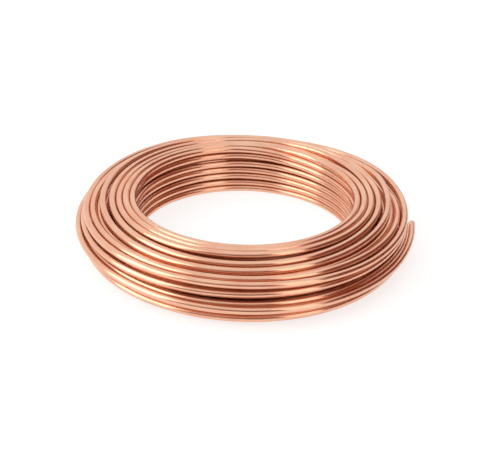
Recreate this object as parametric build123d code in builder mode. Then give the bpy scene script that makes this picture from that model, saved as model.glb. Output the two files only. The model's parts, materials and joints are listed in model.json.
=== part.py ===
from build123d import *
import os
from math import degrees, radians, tan

# Copper tube coil: one length of soft round tube, wound in layers into a flat ring that lies on its side.
# The origin is on the coil's axis at the floor, and +Z points up along that axis.

# Tube
tube_diameter = 6.35
tube_wall = 0.762
cut_edge_chamfer = 0.2

# Winding: a layer is one ring of turns stacked in rows. The turns lie loose, with a small gap between them,
# and every second layer rides a little higher. The outside is rounded: the full layers are followed by two
# short ones, and then by one single turn.
eye_diameter = 208.0
full_layers = 5
layer_gap = 1.15
layer_lift = 1.6
rows = 7
row_gap = 1.15
valley_depth = 2.6

# Free outer end, which comes out under the single turn and springs clear of it
end_lift = 4.0
end_run = 17.0
end_runs = 5
end_flare_angle = 11.0

# Sizes that follow from these
tube_radius = tube_diameter / 2
bore_radius = tube_radius - tube_wall
layer_pitch = tube_diameter + layer_gap
row_pitch = tube_diameter + row_gap
inner_layer_radius = eye_diameter / 2 + tube_radius
top_row = rows - 1
first_short_layer = full_layers
second_short_layer = first_short_layer + 1
single_turn_layer = second_short_layer + 1
short_top_row = top_row - 1
single_turn_row = top_row // 2

# A turn's round crest is drawn as one flat of an octagon, so that the ring keeps few faces
octagon_sides = 8
crest_half_width = tube_radius * tan(radians(180 / octagon_sides))


def turn_centre(layer, row):
    """A turn's centre in the section, with layers counted outwards and rows upwards, both from 0."""
    lift = layer_lift if layer % 2 else 0
    return Vector(inner_layer_radius + layer * layer_pitch, tube_radius + row * row_pitch + lift)


# The turns that show on the section's outside, each with the way that its crest faces,
# walked from the eye's foot along the underside, up the outside, back over the top and down the eye's wall
down, down_out, out, up_out, up, inward = [
    Vector(1, 0).rotate(Axis.Z, angle) for angle in (-90, -45, 0, 45, 90, 180)
]
walk = [(layer, 0, down) for layer in range(first_short_layer + 1)]
walk += [(second_short_layer, row, down_out) for row in range(1, single_turn_row)]
walk += [(single_turn_layer, single_turn_row, out)]
walk += [(second_short_layer, row, up_out) for row in range(single_turn_row + 1, short_top_row + 1)]
walk += [(first_short_layer, short_top_row, up_out)]
walk += [(layer, top_row, up) for layer in reversed(range(full_layers))]
walk += [(0, row, inward) for row in reversed(range(rows))]

# Each turn gives both ends of its crest, or the one line of it on the underside and beside the single turn.
# Each pair of neighbours gives the valley between them.
outline = []
for (layer, row, facing), (next_layer, next_row, _) in zip(walk, walk[1:] + walk[:1]):
    turn = turn_centre(layer, row)
    next_turn = turn_centre(next_layer, next_row)
    crest = turn + facing * tube_radius
    along_crest = facing.rotate(Axis.Z, 90) * crest_half_width
    beside_single_turn = layer == second_short_layer and row < short_top_row
    outline += [crest] if facing == down or beside_single_turn else [crest - along_crest, crest + along_crest]
    if (layer, row) != (next_layer, next_row):
        valley_facing = (next_turn - turn).normalized().rotate(Axis.Z, -90)
        outline.append((turn + next_turn) / 2 + valley_facing * (tube_radius - valley_depth))

# The free end lies one row below the single turn, and it keeps that turn's bend
end_layer_radius, end_height, _ = turn_centre(single_turn_layer, single_turn_row - 1)
end_tip = (end_layer_radius + end_lift, 0, end_height)
end_turn_angle = degrees(end_run / end_layer_radius)

with BuildPart() as tube_coil:
    # The wound ring, turned about the coil's axis
    with BuildSketch(Plane.YZ):
        with BuildLine():
            Polyline(*outline, close=True)
        make_face()
    revolve(axis=Axis.Z)

    # The free end, traced in short runs from its cut tip back into the ring
    with BuildLine() as end_path:
        heading = 270 - end_flare_angle
        tip_run = PolarLine(end_tip, end_run, heading)
        run = tip_run
        for _ in range(end_runs - 1):
            heading -= end_turn_angle
            run = PolarLine(run @ 1, end_run, heading)
    tip_plane = Plane(tip_run @ 0, z_dir=tip_run % 0)
    with BuildSketch(tip_plane):
        Circle(tube_radius)
    sweep(path=end_path.line, transition=Transition.RIGHT)

    # The tube's bore, open at the cut tip, with the tip's outer edge eased
    with BuildSketch(tip_plane):
        Circle(bore_radius)
    extrude(amount=end_run, mode=Mode.SUBTRACT)
    tip_edges = tube_coil.edges().filter_by(GeomType.CIRCLE).sort_by_distance(tip_run @ 0)
    chamfer(tip_edges[1], cut_edge_chamfer)

tube_coil.part.label = "tube_coil"

os.makedirs("parts", exist_ok=True)
export_step(tube_coil.part, "parts/tube_coil.step")
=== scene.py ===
import json
import math

import bmesh
import bpy
import numpy as np
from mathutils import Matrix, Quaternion, Vector


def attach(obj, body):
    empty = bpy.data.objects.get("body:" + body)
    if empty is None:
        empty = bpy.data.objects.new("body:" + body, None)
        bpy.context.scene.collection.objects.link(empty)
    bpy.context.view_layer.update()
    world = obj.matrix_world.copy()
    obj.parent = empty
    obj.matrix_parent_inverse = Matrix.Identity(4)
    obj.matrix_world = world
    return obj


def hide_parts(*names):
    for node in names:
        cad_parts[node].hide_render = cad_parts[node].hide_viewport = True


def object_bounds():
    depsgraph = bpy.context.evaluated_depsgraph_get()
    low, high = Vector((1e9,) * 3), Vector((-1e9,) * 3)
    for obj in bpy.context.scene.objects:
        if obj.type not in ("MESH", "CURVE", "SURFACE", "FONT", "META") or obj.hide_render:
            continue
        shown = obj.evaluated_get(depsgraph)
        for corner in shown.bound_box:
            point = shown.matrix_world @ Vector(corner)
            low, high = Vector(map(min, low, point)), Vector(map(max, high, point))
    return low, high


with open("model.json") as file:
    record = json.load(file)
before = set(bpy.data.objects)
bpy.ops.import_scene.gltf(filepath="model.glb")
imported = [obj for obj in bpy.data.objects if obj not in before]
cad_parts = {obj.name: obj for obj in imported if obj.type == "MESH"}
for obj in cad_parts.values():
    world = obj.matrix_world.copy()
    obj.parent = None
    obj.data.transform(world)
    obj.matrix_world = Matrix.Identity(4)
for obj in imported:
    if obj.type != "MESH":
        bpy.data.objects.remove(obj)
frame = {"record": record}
cad_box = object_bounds()

# The coil: one length of soft copper tube, wound up and down in layers round an open eye.
# It is drawn through a die and annealed, so it is bright and bends by hand. Nothing ties it: the turns
# hold each other, they cross to the next row at the right and right back, and the outer end springs clear.
mm = 0.001
scene = bpy.context.scene
mounts = {mount["name"]: mount for mount in frame["record"]["mounts"]}
tube_end = mounts["tube_end"]
tube_radius = tube_end["dims"]["r_mm"] * mm
eye_radius = mounts["eye"]["dims"]["r_mm"] * mm
tube_diameter = 2 * tube_radius
tube_wall = 0.762 * mm
coil_radius = cad_box[1].y

# Layers count outwards and rows upwards, both from 0. Five full layers are followed by two short ones, and
# every second row nests outwards, most of all in the middle layers. The last turn lies alone outside them,
# as layer 7, and ends level with row 2.
layer_rows = [range(7)] * 5 + [range(6), range(1, 6)]
inner_layer_radius = eye_radius + tube_radius
layer_pitch = (coil_radius - eye_radius - tube_diameter) / len(layer_rows)
layer_lift = 0.4 * mm
row_pitch = 7.5 * mm
row_nesting = 3 * mm
layers_to_full_nesting = 3
turn_of = {}
places = []
for layer, upwards in enumerate(layer_rows):
    layers_from_a_side = min(1 + layer, len(layer_rows) - 1 - layer, layers_to_full_nesting)
    nesting = row_nesting * layers_from_a_side / layers_to_full_nesting
    for row in upwards if layer % 2 == 0 else reversed(upwards):
        turn_of[layer, row] = len(places)
        out = inner_layer_radius + layer * layer_pitch + nesting * (row % 2)
        up = tube_radius + row * row_pitch + layer_lift * (layer % 2)
        places.append((out, up))
turn_of[7, 2] = len(places)
places.append((coil_radius - tube_radius, tube_end["pos_m"][2]))
places = np.array(places)
turns = len(places)

# The line of the tube is worked out at even steps of angle, as distance out from the axis and height up.
# Angles are in degrees from the right, by way of the back, the left and the front. Each turn keeps its place
# for most of the way round and then crosses to the next one, a little sooner each time.
steps_a_turn = 120
start_angle = 12
first_step = round(start_angle / 360 * steps_a_turn)
last_step = turns * steps_a_turn
turned = np.arange(first_step, last_step + 1) / steps_a_turn
angle = 360 * turned


def eased(share):
    """The share kept between 0 and 1, with a soft start and a soft end."""
    share = np.clip(share, 0, 1)
    return share * share * (3 - 2 * share)


def crossed(crossing, middle, half_width):
    """How far the tube has crossed to its next place, from 0 to 1, at each step."""
    return eased((angle - 360 * (crossing + 1) - middle) / (2 * half_width) + 0.5)


# The last turn crosses in its own way: it steps out at the back, and sinks for most of the way round.
first_crossing_angle = 66
sooner_each_time = 1.2
crossing_half_width = 35
step_out_angle = 75
sink_angle = 170
sink_half_width = 130
line = np.tile(places[0], (len(turned), 1))
for crossing, (move_out, move_up) in enumerate(np.diff(places, axis=0)):
    if crossing < turns - 2:
        middle = first_crossing_angle - sooner_each_time * crossing
        line += np.outer(crossed(crossing, middle, crossing_half_width), (move_out, move_up))
    else:
        line[:, 0] += crossed(crossing, step_out_angle, crossing_half_width) * move_out
        line[:, 1] += crossed(crossing, sink_angle, sink_half_width) * move_up

# The outer layers lean: they stand a little higher at the back than at the front, and have sagged a little.
# Both start outside layer 1 and are full from layer 3 on.
lean_share = 0.05
sag_share = 0.015
upright_layers = 1
leaning_layers = 2
layers_out = (line[:, 0] - inner_layer_radius) / layer_pitch
outer_share = np.clip(layers_out - upright_layers, 0, leaning_layers) / leaning_layers
line[:, 1] *= 1 + outer_share * (lean_share * np.sin(np.radians(angle)) - sag_share)

# A hand-wound coil is not even: the tube wanders slowly from side to side as it goes round, in waves that
# each have a number of periods a turn and a phase for each direction.
wander = 0.22 * mm
for periods, phase_out, phase_up in (
    (0.37, 0.4, 2.1),
    (0.83, 1.7, 0.2),
    (1.61, 3.0, 4.4),
    (2.7, 5.1, 1.3),
):
    line[:, 0] += wander * np.sin(2 * math.pi * periods * turned + phase_out)
    line[:, 1] += wander * np.sin(2 * math.pi * periods * turned + phase_up)

# Some turns have slipped: each is moved out and up by these millimetres at the angle, over the width given.
# An angle past 360 is near the end of its turn: there the first layer climbs over the tube's inner end.
for layer, row, middle, half_width, slip_out, slip_up in (
    (0, 0, 380, 75, 0.0, 6.2),
    (0, 1, 380, 75, 0.0, 5.1),
    (0, 2, 380, 75, 0.0, 3.9),
    (0, 3, 380, 75, 0.0, 2.8),
    (0, 4, 380, 75, 0.0, 1.6),
    (0, 5, 110, 60, 0.0, 0.7),
    (0, 6, 110, 60, 0.0, 1.5),
    (0, 6, 270, 100, 0.0, 0.5),
    (1, 6, 110, 60, 0.0, 1.3),
    (1, 6, 180, 80, -1.2, 0.0),
    (1, 6, 270, 90, -0.9, -0.3),
    (1, 6, 345, 75, -1.1, 0.3),
    (2, 6, 110, 60, 0.0, 0.6),
    (2, 6, 190, 100, -2.6, 0.0),
    (2, 6, 270, 90, -1.2, 1.9),
    (2, 6, 345, 75, -2.1, 0.3),
    (3, 6, 190, 100, -3.8, 0.0),
    (3, 6, 270, 90, -0.8, -1.0),
    (3, 6, 345, 75, -3.0, 0.0),
    (4, 6, 120, 60, 1.0, 0.8),
    (4, 6, 200, 60, -2.8, 0.0),
    (4, 6, 270, 90, 0.0, -4.3),
    (4, 6, 345, 75, -2.4, 0.0),
    (5, 0, 300, 60, 2.2, 0.0),
    (5, 5, 128, 60, 0.0, 4.2),
    (5, 5, 190, 60, -2.5, 0.0),
    (5, 5, 260, 90, -1.2, 2.0),
    (5, 5, 340, 50, -1.0, 0.0),
    (6, 5, 128, 60, 0.0, 4.6),
    (6, 5, 190, 60, -1.5, 0.0),
    (6, 5, 265, 90, 0.0, 1.2),
    (6, 5, 318, 45, 0.0, -3.6),
    (6, 4, 200, 70, 0.8, 0.0),
    (6, 4, 270, 80, 0.0, -0.7),
    (6, 4, 318, 50, -0.8, -2.4),
    (6, 3, 200, 70, 0.8, 0.0),
    (6, 3, 270, 80, -0.5, -5.0),
    (6, 3, 318, 50, -0.5, -2.9),
    (6, 3, 345, 60, 2.6, 0.8),
    (6, 2, 270, 80, 0.0, -3.4),
    (6, 2, 318, 50, -0.4, -1.9),
    (6, 2, 335, 60, -0.8, 0.0),
    (6, 1, 220, 50, -2.0, 0.0),
    (6, 1, 270, 80, 0.0, -1.6),
    (6, 1, 300, 60, 2.2, 0.0),
    (6, 1, 318, 50, -0.6, -1.0),
    (7, 2, 150, 60, -0.8, 0.0),
    (7, 2, 210, 80, -2.0, 0.0),
    (7, 2, 330, 45, -3.8, 0.0),
):
    slipped = eased(1 - np.abs(angle - 360 * turn_of[layer, row] - middle) / half_width)
    line += np.outer(slipped, (slip_out * mm, slip_up * mm))

# The free end springs outwards over the last part of its turn, so that its tip is as far out as the frame's
# mount has it.
end_angle = 16
end_length = tube_end["dims"]["length_mm"] * mm
end_tip = Vector(tube_end["pos_m"]) + Vector(tube_end["axis"]) * end_length / 2
end_spring = end_tip.xy.length - places[-1][0]
end_share = np.clip((angle - 360 * turns) / end_angle + 1, 0, 1)
line[:, 0] += end_spring * end_share**2

# The turns then push each other apart until they lie side by side, as wound tube does. Each is compared with
# those at the same angle, and stays above the floor, outside the eye, smooth, and near where it was laid.
settling_rounds = 200
push_share = 0.5
smoothing_share = 0.2
return_share = 0.01
least_distance = 1e-9
laid = line.copy()
slots = np.full((turns + 1, steps_a_turn, 2), np.nan)
filled = slice(first_step, last_step + 1)
for _ in range(settling_rounds):
    slots.reshape(-1, 2)[filled] = line
    apart = slots[:, None] - slots[None, :]
    distance = np.sqrt((apart**2).sum(-1))
    overlap = np.where((distance < tube_diameter) & (distance > 0), tube_diameter - distance, 0)
    direction = np.nan_to_num(apart / np.maximum(distance, least_distance)[..., None])
    push = direction * overlap[..., None] / 2
    line += push_share * push.sum(1).reshape(-1, 2)[filled]
    line[1:-1] += smoothing_share * (line[:-2] + line[2:] - 2 * line[1:-1])
    line += return_share * (laid - line)
    line[:, 0] = np.maximum(line[:, 0], inner_layer_radius)
    line[:, 1] = np.maximum(line[:, 1], tube_radius)

# The tube itself follows that line as a round section, which a curve draws and a mesh then keeps, with a UV
# map that runs along the tube and round it.
curve = bpy.data.curves.new("coil_line", "CURVE")
curve.dimensions = "3D"
curve.twist_mode = "Z_UP"
curve.bevel_depth = tube_radius
curve.bevel_resolution = 6
spline = curve.splines.new("POLY")
spline.points.add(len(line) - 1)
for point, (out, up), turn in zip(spline.points, line, np.radians(angle)):
    point.co = (out * math.cos(turn), out * math.sin(turn), up, 1)
line_object = bpy.data.objects.new("coil_line", curve)
scene.collection.objects.link(line_object)
tube_length = spline.calc_length()
drawn_line = line_object.evaluated_get(bpy.context.evaluated_depsgraph_get())
tube_mesh = bpy.data.meshes.new_from_object(drawn_line)
bpy.data.objects.remove(line_object)

# Both ends are cut square, which leaves the bore open with the wall as a ring round it. The outer edge is
# eased, and the bore goes in by about twice its width.
bore_depth = 10 * mm
cut_edge = 0.2 * mm
sharp_angle = math.radians(50)
tube = bmesh.new()
tube.from_mesh(tube_mesh)
open_edges = [edge for edge in tube.edges if edge.is_boundary]
ends = bmesh.ops.holes_fill(tube, edges=open_edges)["faces"]
rims = [edge for end in ends for edge in end.edges]
bmesh.ops.inset_individual(tube, faces=ends, thickness=tube_wall, use_even_offset=True)
bmesh.ops.inset_individual(tube, faces=ends, thickness=0, depth=-bore_depth)
bmesh.ops.bevel(tube, geom=rims, offset=cut_edge, segments=2, profile=0.5, affect="EDGES", material=-1)
tube.to_mesh(tube_mesh)
tube.free()
tube_mesh.set_sharp_from_angle(angle=sharp_angle)
coil = bpy.data.objects.new("wound_tube", tube_mesh)
scene.collection.objects.link(coil)


def linear(hex_colour):
    """A sRGB hex colour as Blender's linear colour."""
    parts = [int(hex_colour[i : i + 2], 16) / 255 for i in (1, 3, 5)]
    return [p / 12.92 if p <= 0.04045 else ((p + 0.055) / 1.055) ** 2.4 for p in parts] + [1]


def add_node(tree, kind, inputs=(), **settings):
    """Adds a node, with its settings and with a link or a value for each input named."""
    node = tree.nodes.new(kind)
    for name, value in settings.items():
        setattr(node, name, value)
    for name, value in dict(inputs).items():
        if isinstance(value, bpy.types.NodeSocket):
            tree.links.new(value, node.inputs[name])
        else:
            node.inputs[name].default_value = value
    return node


# Drawn and annealed copper: a clean metal with fine lines along the tube from the die, which stretch its
# highlights round the section, and a faint uneven tone where the anneal has tinted it. The die's real lines
# are finer, and are drawn at a width that shows.
copper = bpy.data.materials.new("drawn_annealed_copper")
copper.use_nodes = True
tree = copper.node_tree
tree.nodes.clear()
place = add_node(tree, "ShaderNodeTexCoord")
draw_line_width = 0.4 * mm
draw_line_length = 70 * mm
along_and_round = add_node(tree, "ShaderNodeMapping", {
    "Vector": place.outputs["UV"],
    "Scale": (tube_length / draw_line_length, 2 * math.pi * tube_radius / draw_line_width, 1),
})
draw_lines = add_node(tree, "ShaderNodeTexNoise", {
    "Vector": along_and_round.outputs["Vector"], "Scale": 1, "Detail": 2, "Roughness": 0.6,
})
tint_size = 35 * mm
tint = add_node(tree, "ShaderNodeTexNoise", {
    "Vector": place.outputs["Object"], "Scale": 1 / tint_size, "Detail": 3, "Roughness": 0.55,
})
tone = add_node(tree, "ShaderNodeValToRGB", {"Fac": tint.outputs["Fac"]})
tone.color_ramp.elements[0].position = 0.35
tone.color_ramp.elements[0].color = linear("#eab093")
tone.color_ramp.elements[1].position = 0.7
tone.color_ramp.elements[1].color = linear("#f2c1a4")
roughness = add_node(tree, "ShaderNodeMapRange", {
    "Value": draw_lines.outputs["Fac"], "From Min": 0.3, "From Max": 0.7, "To Min": 0.18, "To Max": 0.28,
})
draw_line_depth = 0.05 * mm
relief = add_node(tree, "ShaderNodeBump", {
    "Height": draw_lines.outputs["Fac"], "Strength": 0.08, "Distance": draw_line_depth,
})
drawing = add_node(tree, "ShaderNodeTangent", direction_type="UV_MAP", uv_map="UVMap")
surface = add_node(tree, "ShaderNodeBsdfPrincipled", {
    "Base Color": tone.outputs["Color"],
    "Metallic": 1,
    "Roughness": roughness.outputs["Result"],
    "Anisotropic": 0.85,
    "Anisotropic Rotation": 0.25,
    "Normal": relief.outputs["Normal"],
    "Tangent": drawing.outputs["Tangent"],
})
add_node(tree, "ShaderNodeOutputMaterial", {"Surface": surface.outputs["BSDF"]})
tube_mesh.materials.append(copper)

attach(coil, "root")
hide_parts("tube_coil")

# The floor: a plain matt board that the coil lies on. It is lit to a mid grey, and a glow of its own, which
# only the camera, reflections and see-through things meet, brings it to white and leaves the shadow in.
floor_mesh = bpy.data.meshes.new("floor")
floor_half = 6.0
floor_glow = 0.72
plane = bmesh.new()
bmesh.ops.create_grid(plane, x_segments=1, y_segments=1, size=floor_half)
plane.to_mesh(floor_mesh)
plane.free()
floor = bpy.data.objects.new("floor", floor_mesh)
scene.collection.objects.link(floor)
white = bpy.data.materials.new("white_floor")
white.use_nodes = True
tree = white.node_tree
tree.nodes.clear()
ray = add_node(tree, "ShaderNodeLightPath")
seen = add_node(tree, "ShaderNodeMath", {
    0: ray.outputs["Is Camera Ray"], 1: ray.outputs["Is Glossy Ray"],
}, operation="MAXIMUM")
seen = add_node(tree, "ShaderNodeMath", {
    0: seen.outputs[0], 1: ray.outputs["Is Transmission Ray"],
}, operation="MAXIMUM")
paint = add_node(tree, "ShaderNodeBsdfDiffuse", {"Color": linear("#a8a8a8")})
glow_strength = add_node(tree, "ShaderNodeMath", {0: seen.outputs[0], 1: floor_glow}, operation="MULTIPLY")
glow = add_node(tree, "ShaderNodeEmission", {"Strength": glow_strength.outputs[0]})
both = add_node(tree, "ShaderNodeAddShader", {0: paint.outputs["BSDF"], 1: glow.outputs["Emission"]})
add_node(tree, "ShaderNodeOutputMaterial", {"Surface": both.outputs["Shader"]})
floor_mesh.materials.append(white)

# The light: a pale room, bright overhead and towards the back left, dim and warm low down and in a patch at
# the right. A soft box at each side of the camera shows as a pale band across the turns.
world = bpy.data.worlds.new("pale_room")
scene.world = world
world.use_nodes = True
tree = world.node_tree
tree.nodes.clear()
bright_direction = (-0.3, 0.35, 0.88)
dim_direction = (0.85, 0.2, 0.48)
looking = add_node(tree, "ShaderNodeTexCoord")
bright_side = add_node(tree, "ShaderNodeVectorMath", {
    0: looking.outputs["Generated"], 1: bright_direction,
}, operation="DOT_PRODUCT")
dim_side = add_node(tree, "ShaderNodeVectorMath", {
    0: looking.outputs["Generated"], 1: dim_direction,
}, operation="DOT_PRODUCT")
dimming = add_node(tree, "ShaderNodeMapRange", {
    "Value": dim_side.outputs["Value"], "From Min": 0.8, "From Max": 0.97, "To Min": 0, "To Max": 0.6,
}, interpolation_type="SMOOTHSTEP")
brightness = add_node(tree, "ShaderNodeMath", {
    0: bright_side.outputs["Value"], 1: dimming.outputs["Result"],
}, operation="SUBTRACT")
walls = add_node(tree, "ShaderNodeValToRGB", {"Fac": brightness.outputs["Value"]})
walls.color_ramp.interpolation = "EASE"
walls.color_ramp.elements[0].position = 0.14
walls.color_ramp.elements[0].color = linear("#80483d")
walls.color_ramp.elements[1].position = 0.48
walls.color_ramp.elements[1].color = linear("#ffffff")
room = add_node(tree, "ShaderNodeBackground", {"Color": walls.outputs["Color"], "Strength": 1})
add_node(tree, "ShaderNodeOutputWorld", {"Surface": room.outputs["Background"]})

lamp_distance = 1.2
for name, azimuth, elevation, width, height, radiance in (
    ("soft_box_left", -157, 25, 0.9, 1.1, 2.0),
    ("soft_box_right", -53, 25, 0.5, 1.1, 1.4),
):
    lamp = bpy.data.lights.new(name, "AREA")
    lamp.shape = "RECTANGLE"
    lamp.size = width
    lamp.size_y = height
    lamp.color = linear("#fffcf6")[:3]
    lamp.energy = radiance * math.pi * width * height
    lamp_object = bpy.data.objects.new(name, lamp)
    away = Vector((math.cos(math.radians(azimuth)), math.sin(math.radians(azimuth)), 0))
    away = away * math.cos(math.radians(elevation)) + Vector((0, 0, math.sin(math.radians(elevation))))
    lamp_object.location = away * lamp_distance
    lamp_object.rotation_mode = "QUATERNION"
    lamp_object.rotation_quaternion = away.to_track_quat("Z", "Y")
    scene.collection.objects.link(lamp_object)

# The camera stands in front of the coil and looks down on it, turned a touch, as the photograph was taken.
# Its lens and shift are worked out from the photograph's pixels, with the foot of the coil's axis as there.
camera_data = bpy.data.cameras.new("camera")
camera_distance = 5.271 * coil_radius
camera_elevation = math.radians(28.64)
camera_roll = math.radians(1.09)
image_width = 500
image_height = 450
focal_length_px = 870.6
axis_foot_x_px = 244.15
axis_foot_y_px = 237.69
camera_data.sensor_width = 36
camera_data.lens = focal_length_px / image_width * camera_data.sensor_width
camera_data.shift_x = (image_width / 2 - axis_foot_x_px) / image_width
camera_data.shift_y = (axis_foot_y_px - image_height / 2) / image_width
camera_data.clip_start = 0.01
camera = bpy.data.objects.new("camera", camera_data)
scene.collection.objects.link(camera)
back = Vector((0, -math.cos(camera_elevation), math.sin(camera_elevation)))
camera.location = back * camera_distance
camera.rotation_mode = "QUATERNION"
camera.rotation_quaternion = (-back).to_track_quat("-Z", "Y") @ Quaternion((0, 0, 1), camera_roll)
scene.camera = camera
scene.view_settings.view_transform = "Standard"
